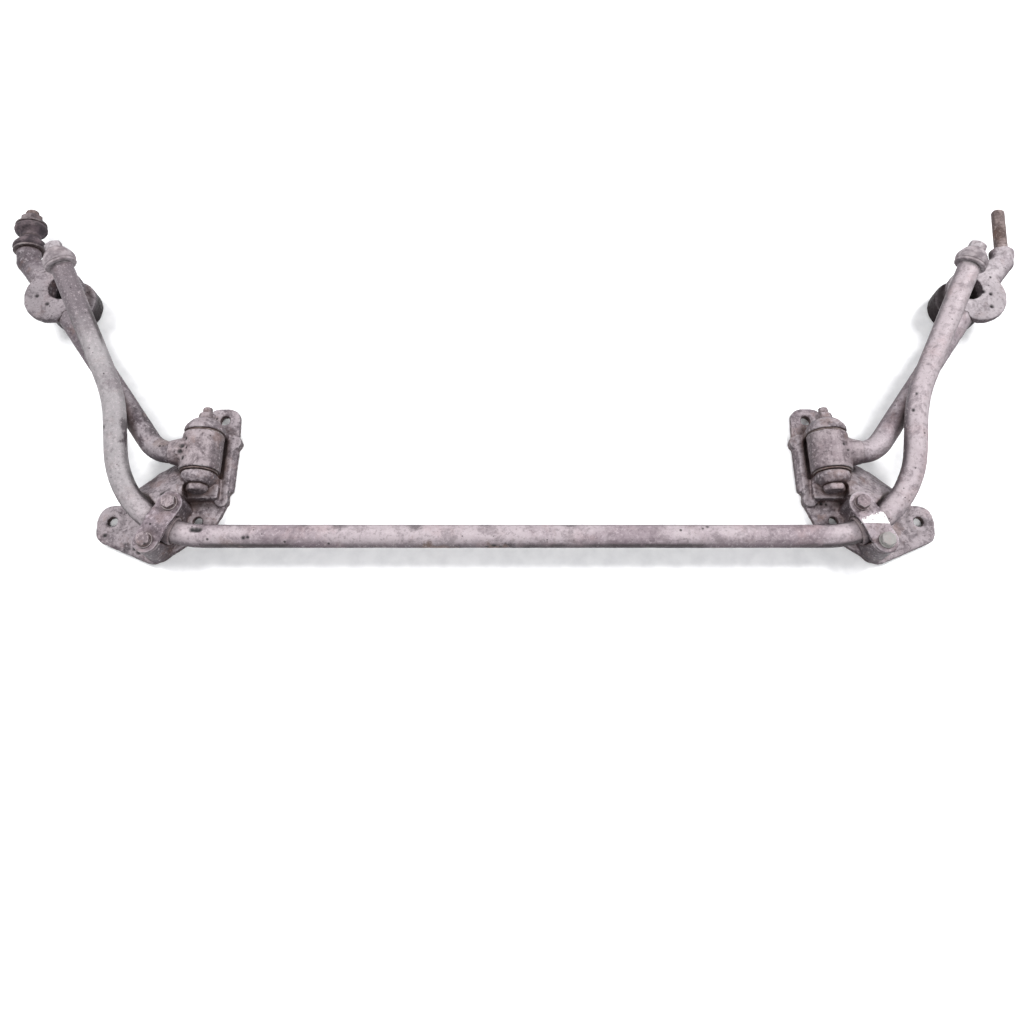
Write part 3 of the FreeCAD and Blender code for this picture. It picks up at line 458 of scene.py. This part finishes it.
CELL_HASH = (73856093, 19349663, 83492791)
SEED_HASH = 2654435761
STIR = 1274126177
OCTAVES = 3
BROAD, FINE = 140, 520  # features per metre of a surface's broad and fine unevenness
FINE_SHARE, FINE_SEED = 0.3, 7  # the fine unevenness beside the broad: its height and its next seed
EDGE_ROUNDS = 6  # softening that edges and hollows are told by
EDGE_BULGE = 0.55  # height over the softened shape, in voxels, that counts as a full edge
THREAD_SKIN = 0.86  # a thread is cut in what lies beyond this share of its radius
THREAD_DEPTH = 0.42  # in shares of its pitch
FILLET_SPAN = (34 * MM, 92 * MM)  # from and to, along Y
PLATE_TOP = 8 * MM
RIB_RADIUS, RIB_THICKNESS = 16.5 * MM, 1.7 * MM
RIB_ARC = {"right": (-75, 20), "left": (160, 255)}  # degrees, anticlockwise from +X
SEAM_LEAN = 24.0  # degrees from upright towards the middle of the car
SEAM_WIDTH, SEAM_HEIGHT = 0.9 * MM, 0.4 * MM


def lattice_noise(points, scale, seed):
    """Smooth noise from -1 to 1 at each point, with features of 1 / scale metres."""
    spots = points * scale
    cell = np.floor(spots)
    part = spots - cell
    blend = part * part * (3 - 2 * part)
    cell = cell.astype(np.int64)
    total = np.zeros(len(points))
    for corner in range(8):
        offset = np.array([corner & 1, corner >> 1 & 1, corner >> 2 & 1])
        at = cell + offset
        keys = at * np.array(CELL_HASH)
        mixed = keys[:, 0] ^ keys[:, 1] ^ keys[:, 2] ^ (seed * SEED_HASH)
        mixed = (mixed ^ (mixed >> 13)) * STIR & 0xFFFFFFFF
        value = ((mixed ^ (mixed >> 16)) & 0xFFFF) / 32767.5 - 1
        weight = np.prod(np.where(offset, blend, 1 - blend), axis=1)
        total += weight * value
    return total


def rough_noise(points, scale, seed):
    """Lattice noise with finer and weaker noise on top, from -1 to 1."""
    total = np.zeros(len(points))
    for octave in range(OCTAVES):
        total += lattice_noise(points, scale * 2 ** octave, seed + octave) / 2 ** octave
    return total / sum(1 / 2 ** octave for octave in range(OCTAVES))


def at_vertices(mesh, fact):
    """The coordinates ("co") or the normals ("normal") of a mesh, a row for each vertex."""
    flat = np.empty(len(mesh.vertices) * 3, np.float32)
    mesh.vertices.foreach_get(fact, flat)
    return flat.reshape(-1, 3).astype(float)


def edge_ends(mesh):
    """The two vertices of each edge."""
    flat = np.empty(len(mesh.edges) * 2, np.int32)
    mesh.edges.foreach_get("vertices", flat)
    return flat.reshape(-1, 2)


def relaxed(points, ends, rounds):
    """Each point moved halfway to the mean of its neighbours, a number of times."""
    count = np.bincount(ends.ravel(), minlength=len(points)).clip(1)
    points = points.copy()
    for _ in range(rounds):
        mean = np.empty_like(points)
        for axis in range(3):
            values = points[:, axis]
            mean[:, axis] = (np.bincount(ends[:, 0], values[ends[:, 1]], len(points))
                             + np.bincount(ends[:, 1], values[ends[:, 0]], len(points))) / count
        points += 0.5 * (mean - points)
    return points


def prism(section, start, end):
    """Corners and faces of a bar along Y with a given (x, z) section."""
    count = len(section)
    points = [(x, y, z) for y in (start, end) for x, z in section]
    faces = [(side, (side + 1) % count, (side + 1) % count + count, side + count)
             for side in range(count)]
    return points, faces + [tuple(range(count))[::-1], tuple(range(count, 2 * count))]


def curved_rib(centre, radius, thick, start, end):
    """Corners and faces of a thin round rib bent round an upright axis, angles in degrees."""
    around, across = 24, 10
    points, faces = [], []
    for step in range(around + 1):
        turn = math.radians(start + (end - start) * step / around)
        girth = thick * math.sin(math.pi * (0.08 + 0.84 * step / around)) ** 0.5
        for part in range(across):
            tilt = part / across * 2 * math.pi
            reach = radius + girth * math.cos(tilt)
            points.append((centre[0] + reach * math.cos(turn), centre[1] + reach * math.sin(turn),
                           centre[2] + girth * math.sin(tilt)))
    for step in range(around):
        for part in range(across):
            other = (part + 1) % across
            faces.append((step * across + part, step * across + other,
                          (step + 1) * across + other, (step + 1) * across + part))
    last = around * across
    return points, faces + [tuple(range(across)), tuple(range(last, last + across))[::-1]]


def casting_lumps(side):
    """Sloping fillet outside the casting's inner rim, and a rib round its outer ear."""
    low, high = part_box(f"{side}_bracket")
    outwards = 1 if side == "right" else -1
    inner = low.x if side == "right" else high.x
    section = [(inner + outwards * x * MM, z * MM)
               for x, z in ((3, 1), (16, 1), (16, 14.3), (9.5, 14.5), (5.5, 10.5), (3, 6))]
    outer_hole = MOUNTS["outer_holes"]["dims"]["spacing_x_mm"] / 2 * MM * outwards
    slope = prism(section if side == "right" else section[::-1], *FILLET_SPAN)
    rib = curved_rib((outer_hole, 0, PLATE_TOP), RIB_RADIUS, RIB_THICKNESS, *RIB_ARC[side])
    return [slope, rib]


def remeshed(node, voxel):
    """An even, fine copy of a CAD node's mesh, with any lumps cast on it."""
    data = NODES[node].data.copy()
    if node.endswith("bracket"):
        shape = bmesh.new()
        shape.from_mesh(data)
        for points, faces in casting_lumps(node.split("_")[0]):
            corners = [shape.verts.new(point) for point in points]
            for face in faces:
                shape.faces.new([corners[index] for index in face])
        bmesh.ops.recalc_face_normals(shape, faces=shape.faces)
        shape.to_mesh(data)
        shape.free()
    working = bpy.data.objects.new("working", data)
    bpy.context.scene.collection.objects.link(working)
    remesh = working.modifiers.new("remesh", "REMESH")
    remesh.mode = "VOXEL"
    remesh.voxel_size = voxel
    graph = bpy.context.evaluated_depsgraph_get()
    mesh = bpy.data.meshes.new_from_object(working.evaluated_get(graph))
    bpy.data.objects.remove(working)
    return mesh


def thread_depth(points, thread):
    """How far a screw thread moves each point towards its axis."""
    start, axis, radius, pitch = thread
    axis = np.array(axis) / np.linalg.norm(axis)
    local = points - np.array(start)
    along = local @ axis
    side = np.cross(axis, [0.0, 0.0, 1.0])
    side /= np.linalg.norm(side)
    up = np.cross(side, axis)
    radial = local - np.outer(along, axis)
    turn = np.arctan2(radial @ up, radial @ side) / (2 * np.pi)
    wave = np.abs(((along / pitch - turn) % 1.0) * 2 - 1)
    away = np.linalg.norm(radial, axis=1)
    cut = (away > radius * THREAD_SKIN) & (along > 0)
    inward = -radial / away[:, None].clip(1e-9)
    return inward * (cut * wave * pitch * THREAD_DEPTH)[:, None]


def seam_lift(points, side):
    """Low weld seam along the eye's tube, on the side that faces inwards and up."""
    low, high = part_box(f"{side}_pivot_bolt")
    lean = math.radians(-SEAM_LEAN if side == "right" else SEAM_LEAN)
    normal = np.array([math.sin(lean), 0, math.cos(lean)])
    beside = np.array([math.cos(lean), 0, -math.sin(lean)])
    axis = np.array([(low.x + high.x) / 2, 0, (low.z + high.z) / 2])
    local = points - axis
    near = np.exp(-(local @ beside / SEAM_WIDTH) ** 2)
    return near * (local @ normal > 0) * SEAM_HEIGHT


def add_piece(mesh, node):
    """Put a finished mesh in the scene in place of its CAD node, on that node's body."""
    piece = bpy.data.objects.new(node + "_look", mesh)
    bpy.context.scene.collection.objects.link(piece)
    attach(piece, BODY_OF[node])
    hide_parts(node)


def refine(node, material, voxel, rounds, rough, seed, thread=None):
    """Replace a CAD node by a finely divided, softened and roughened copy; voxel and rough in mm."""
    side = node.split("_")[0]
    mesh = remeshed(node, voxel * MM)
    ends = edge_ends(mesh)
    points = relaxed(at_vertices(mesh, "co"), ends, rounds)
    mesh.vertices.foreach_set("co", points.ravel())
    mesh.update()
    normals = at_vertices(mesh, "normal")
    bulge = np.einsum("ij,ij->i", points - relaxed(points, ends, EDGE_ROUNDS), normals)
    edge = np.clip(bulge / (EDGE_BULGE * voxel * MM), -1, 1)
    lift = rough_noise(points, BROAD, seed) * rough * MM
    lift += rough_noise(points, FINE, seed + FINE_SEED) * rough * FINE_SHARE * MM
    pit = np.zeros(len(points))
    low, high = points.min(axis=0), points.max(axis=0)
    for share, radius, depth in NICKS.get(node, ()):
        centre = low + (high - low) * np.array(share)
        nearest = points[np.argmin(np.linalg.norm(points - centre, axis=1))]
        fall = np.exp(-(np.linalg.norm(points - nearest, axis=1) / (radius * MM)) ** 4)
        lift -= fall * depth * MM
        pit = np.maximum(pit, fall * (depth > 0))
    if node.endswith("arm_eye"):
        lift += seam_lift(points, side)
    points = points + normals * lift[:, None]
    if thread is not None:
        points = points + thread_depth(points, thread)
    mesh.vertices.foreach_set("co", points.ravel())
    for label, values in (("edge", edge), ("pit", pit)):
        attribute = mesh.attributes.new(label, "FLOAT", "POINT")
        attribute.data.foreach_set("value", values.astype(np.float32))
    mesh.polygons.foreach_set("use_smooth", [True] * len(mesh.polygons))
    mesh.update()
    mesh.materials.clear()
    mesh.materials.append(material)
    add_piece(mesh, node)


def repaint(node, material):
    """Give a CAD node that stays in view its material."""
    slots = NODES[node].data.materials
    slots.clear()
    slots.append(material)


# ------------------------------------------------------------------ the materials

SOOT = (0.030, 0.022, 0.026)
DULL = (0.088, 0.070, 0.080)
EARTH = (0.105, 0.066, 0.052)
ASHEN = (0.245, 0.236, 0.240)
# Old stains: place within the node's own box as shares of it, reach in mm, strength and colour.
BAR_STAINS = placed("anti_roll_bar", (
    ((0.06, 0.45, 0.5), 170, 0.75, ASHEN),
    ((0.04, 0.88, 0.84), 90, 0.85, DULL),
    ((0.11, 0.33, 0.46), 11, 0.9, SOOT),
    ((0.105, 0.38, 0.48), 8, 0.7, SOOT),
    ((0.095, 0.54, 0.55), 26, 0.6, DULL),
    ((0.22, 0, 0.1), 18, 0.5, EARTH)))
BAR_STAINS += placed("anti_roll_bar", [
    ((along, 0, 0.07), reach, 0.9, SOOT)
    for along, reach in ((0.44, 12), (0.49, 14), (0.515, 14), (0.545, 13), (0.58, 12), (0.64, 12))])
BAR_STAINS += placed("anti_roll_bar", [
    ((along, 0.07, 0.2), reach, 0.7, SOOT)
    for along, reach in ((0.29, 9), (0.325, 11), (0.4, 11), (0.47, 9), (0.555, 10))])
BAR_STAINS += placed("anti_roll_bar", [
    ((along, 0.01, 0.1), 13, 0.85, EARTH) for along in (0.41, 0.43, 0.48)])
TUBE_STAINS = placed("left_arm_tube", (
    ((0.78, 0.29, 0.9), 15, 0.9, SOOT),
    ((0.76, 0.35, 0.9), 12, 0.85, SOOT),
    ((0.3, 0.76, 0.82), 60, 0.90, DULL),
    ((0.82, 0.18, 0.82), 10, 0.75, SOOT),
    ((0.9, 0.1, 0.9), 10, 0.45, EARTH)))
TUBE_STAINS += placed("left_ring_forging", (
    ((0.15, 0.95, 0.8), 44, 0.90, DULL),
    ((0.12, 0.8, 0.95), 16, 0.60, SOOT)))
RING_STAINS = placed("right_ring_forging", (
    ((0.87, 1, 0.7), 13, 0.75, DULL),
    ((0.92, 0.9, 0.4), 10, 0.50, DULL)))
CAST_STAINS = placed("left_bracket", (
    ((0.7, 0.4, 0.15), 15, 0.95, SOOT),
    ((0.47, 0.13, 0.2), 20, 0.7, EARTH),
    ((0.25, 0.09, 0.15), 6, 0.9, SOOT),
    ((0.8, 0.6, 0.2), 20, 0.5, EARTH)))
CAST_STAINS += placed("right_bracket", (
    ((0.5, 0.12, 0.25), 16, 0.9, SOOT),
    ((0.17, 0.4, 0.15), 9, 0.8, SOOT),
    ((0.17, 0.8, 0.35), 18, 0.5, EARTH)))

STRAP_STEEL = ((0.272, 0.230, 0.250), (0.085, 0.067, 0.077), 4.2)
BOLT_STEEL = ((0.255, 0.212, 0.222), (0.085, 0.065, 0.071), 5.8)


def stud_stains():
    """Bare metal at the bare stud's root and tip, and rust at mid-length."""
    axis = Vector(STUD["axis"])
    root = Vector(STUD["pos_m"]) - axis * STUD["dims"]["length_mm"] / 2 * MM
    return [(root + axis * 5 * MM, 8 * MM, 0.65, (0.22, 0.185, 0.185)),
            (root + axis * 26 * MM - Vector((6, 0, -4)) * MM, 13 * MM, 0.85, (0.038, 0.022, 0.018)),
            (root + axis * 56 * MM, 7 * MM, 0.75, (0.30, 0.27, 0.265))]


def strap_middle():
    """Where the white paint lies."""
    low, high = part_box("right_clamp_strap")
    return (low + high) / 2


def lower_bolt_head():
    """The right-hand strap's outer bolt, at the top of its head."""
    low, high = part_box("right_clamp_bolts")
    return Vector((high.x - 8 * MM, low.y + 8 * MM, high.z))


bar_metal = dirty_metal("bar_steel", (0.335, 0.290, 0.306), (0.118, 0.096, 0.106), 0.0, rust=0.12,
                        sooty_side_shade=0.9, mottling=0.62, stains=BAR_STAINS)
forged_metal = dirty_metal("forged_steel", (0.290, 0.252, 0.268), (0.092, 0.072, 0.081), 1.3,
                           rust=0.24, mottling=0.7)
eye_metal = dirty_metal("eye_steel", (0.240, 0.203, 0.214), (0.080, 0.062, 0.068), 2.2, rust=0.42)
ring_metal = dirty_metal("ring_steel", (0.316, 0.284, 0.298), (0.085, 0.068, 0.076), 1.3,
                         rust=0.20, dark_below=37 * MM, mottling=0.6, metallic=0.05, specular=0.1,
                         stains=RING_STAINS)
# A darker copy of the forged steel's colours, for the left-hand ring and tube.
darker_left_metal = dirty_metal("darker_left_steel", (0.210, 0.184, 0.196), (0.066, 0.052, 0.060), 3.7,
                          rust=0.30, dark_below=30 * MM, metallic=0.15, specular=0.25,
                          stains=TUBE_STAINS)
cast_metal = dirty_metal("cast_steel", (0.254, 0.220, 0.234), (0.074, 0.058, 0.066), 2.9, rust=0.42,
                         stains=CAST_STAINS)
strap_metal = dirty_metal("pressed_steel", *STRAP_STEEL, rust=0.28)
marked_metal = dirty_metal("marked_steel", *STRAP_STEEL, rust=0.28,
                           paint_mark=(painted_patch, strap_middle(), (0.74, 0.74, 0.72)))
bolt_metal = dirty_metal("fasteners", *BOLT_STEEL, rust=0.45)
pale_bolt = dirty_metal("pale_bolt", *BOLT_STEEL, rust=0.40,
                        paint_mark=(pale_spot, lower_bolt_head(), (0.245, 0.242, 0.232)))
nut_metal = dirty_metal("pale_fasteners", (0.312, 0.284, 0.297), (0.115, 0.096, 0.104), 8.8,
                        rust=0.15)
rusty_metal = dirty_metal("rusty_steel", (0.150, 0.108, 0.100), (0.050, 0.033, 0.031), 7.1, rust=0.75)
stud_metal = dirty_metal("stud_steel", (0.235, 0.188, 0.180), (0.070, 0.050, 0.048), 6.6, rust=0.60,
                         stains=stud_stains())
stack_metal = dirty_metal("stack_steel", (0.150, 0.124, 0.126), (0.045, 0.034, 0.038), 9.4, rust=0.30)
dusted_rubber = perished_rubber("bush_rubber", (0.185, 0.158, 0.168), (0.070, 0.055, 0.062), 3.1, 0.65)
black_rubber = perished_rubber("rubber", (0.060, 0.043, 0.052), (0.020, 0.014, 0.018), 0.7, 0.40)
dusty_rubber = perished_rubber("dusty_rubber", (0.290, 0.258, 0.271), (0.120, 0.100, 0.109), 1.9, 0.3)

# ------------------------------------------------------------------ the pieces

# Dents and nicks: place within the piece's own box as shares of it, radius and depth in mm. A
# negative depth is a lump.
NICKS = {
    "anti_roll_bar": [((0.181, 0.05, 0.3), 3.3, 1.2), ((0.1845, 0.05, 0.3), 3.8, 1.5),
                      ((0.188, 0.05, 0.3), 3.3, 1.2),
                      ((0.2320, 0.022, 0.26), 2.2, 0.8), ((0.2365, 0.024, 0.26), 1.9, 0.6),
                      ((0.472, 0.006, 0.16), 2.4, 0.8), ((0.478, 0.010, 0.17), 2.8, 1.0),
                      ((0.485, 0.006, 0.16), 2.4, 0.8), ((0.498, 0.004, 0.14), 1.8, 0.6),
                      ((0.905, 0.42, 0.55), 2.0, 0.7), ((0.910, 0.47, 0.60), 1.6, 0.5),
                      ((0.085, 0.37, 0.48), 2.4, 0.6), ((0.690, 0.06, 0.26), 1.8, 0.5)],
    "right_ring_forging": [((0.56, 0.33, 1.0), 2.3, 1.2), ((0.48, 0.36, 1.0), 2.6, 0.8),
                           ((0.53, 0.17, 1.0), 2.5, 1.0), ((0.60, 0.55, 1.0), 1.5, 0.6)],
    "left_ring_forging": [((0.42, 0.30, 1.0), 2.2, 1.0), ((0.55, 0.20, 1.0), 2.4, 0.8)],
    "left_bracket": [((0.35, 0.07, 0.15), 3.2, 1.3), ((0.31, 0.09, 0.15), 2.6, 1.0),
                     ((0.08, 0.17, 0.15), 2.4, 1.2), ((0.52, 0.38, 0.6), 3.0, 1.5)],
    "right_bracket": [((0.14, 0.370, 0.15), 1.5, 0.9), ((0.18, 0.368, 0.15), 1.8, 1.0),
                      ((0.22, 0.365, 0.15), 1.4, 0.8), ((0.66, 0.08, 0.15), 2.2, 0.9)],
    "left_arm_eye": [((0.30, 0.58, 0.9), 3.0, 1.5), ((0.26, 0.42, 0.9), 2.8, 1.4),
                     ((0.36, 0.76, 0.9), 2.0, 1.0), ((0.31, 0.24, 0.9), 2.4, 1.2),
                     ((0.42, 0.50, 0.9), 1.5, 0.8),
                     ((0.24, 0.60, 0.8), 2.4, -1.0), ((0.22, 0.42, 0.8), 2.8, -1.2),
                     ((0.25, 0.28, 0.8), 2.2, -0.9), ((0.33, 0.40, 0.95), 2.0, -0.7),
                     ((0.28, 0.78, 0.7), 2.4, -0.9)],
    "right_arm_eye": [((0.62, 0.60, 1.0), 1.8, 0.8), ((0.66, 0.45, 0.9), 1.4, 0.6)],
    "left_arm_tube": [((0.62, 0.30, 0.9), 2.0, 0.7), ((0.55, 0.40, 0.9), 1.8, 0.6),
                      ((0.48, 0.52, 0.9), 2.2, 0.6)],
    "right_bar_end_bush": [((0.40, 0.55, 0.9), 1.3, 0.7), ((0.15, 0.35, 0.6), 1.6, 0.8)],
}


PIVOT_RADIUS, PIVOT_PITCH, PIVOT_THREAD = 6 * MM, 1.75 * MM, 9 * MM
STUD_PITCH, STUD_PLAIN = 2 * MM, 6 * MM


def pivot_thread(side):
    """Start, direction, radius and pitch of the M12 thread at the far end of a pivot bolt."""
    low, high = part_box(f"{side}_pivot_bolt")
    start = ((low.x + high.x) / 2, high.y - PIVOT_THREAD, (low.z + high.z) / 2)
    return start, (0, 1, 0), PIVOT_RADIUS, PIVOT_PITCH


def stud_thread(side):
    """The same for a damper stud's M16 thread, which starts beyond the plain part at its root."""
    axis = Vector(sided(side, STUD["axis"]))
    from_middle = STUD["dims"]["length_mm"] * MM / 2 - STUD_PLAIN
    start = Vector(sided(side, STUD["pos_m"])) - axis * from_middle
    return start, axis, STUD["dims"]["r_mm"] * MM, STUD_PITCH


def refine_side(side, strap_look, bolt_look, ring_look, tube_look, seed):
    """The pieces that both sides have, each with a seed one higher than the last."""
    for name, material, voxel, rounds, rough in (
            ("bracket", cast_metal, 0.9, 18, 0.60),
            ("clamp_strap", strap_look, 0.6, 6, 0.22),
            ("clamp_bolts", bolt_look, 0.45, 6, 0.14),
            ("clamp_washers", bolt_look, 0.45, 2, 0.08),
            ("bar_bush", dusted_rubber, 0.8, 2, 0.10),
            ("pivot_washers", rusty_metal, 0.45, 2, 0.18),
            ("arm_eye", eye_metal, 0.8, 6, 0.30),
            ("arm_tube", tube_look, 1.0, 4, 0.22),
            ("ring_forging", ring_look, 0.9, 16, 0.50),
            ("bar_end_washer", dusty_rubber, 0.5, 8, 0.2),
            ("bar_end_bush", dusty_rubber, 0.6, 8, 0.35),
            ("bar_end_nut", nut_metal, 0.5, 16, 0.2),
            ("pivot_nut", eye_metal, 0.45, 6, 0.22)):
        seed += 1
        refine(f"{side}_{name}", material, voxel, rounds, rough, seed)
    refine(f"{side}_pivot_bolt", eye_metal, 0.5, 90, 0.35, seed + 1, pivot_thread(side))
    refine(f"{side}_damper_stud", stud_metal, 0.42, 2, 0.08, seed + 2, stud_thread(side))
    repaint(f"{side}_pivot_inner_sleeve", rusty_metal)
    repaint(f"{side}_pivot_outer_sleeve", rusty_metal)
    repaint(f"{side}_pivot_rubber", black_rubber)


make_camera()
make_lights()
make_floor()
refine("anti_roll_bar", bar_metal, 1.2, 4, 0.18, 11)
refine_side("left", strap_metal, bolt_metal, darker_left_metal, darker_left_metal, 0)
refine_side("right", marked_metal, pale_bolt, ring_metal, forged_metal, 40)
for name, material, voxel, rounds, rough, seed in (
        ("damper_bush_inner", black_rubber, 0.6, 8, 0.5, 107),
        ("damper_bush_outer", black_rubber, 0.6, 8, 0.5, 107),
        ("damper_washers", stack_metal, 0.5, 6, 0.3, 104),
        ("damper_nut", stack_metal, 0.5, 10, 0.3, 100)):
    refine(f"left_{name}", material, voxel, rounds, rough, seed)
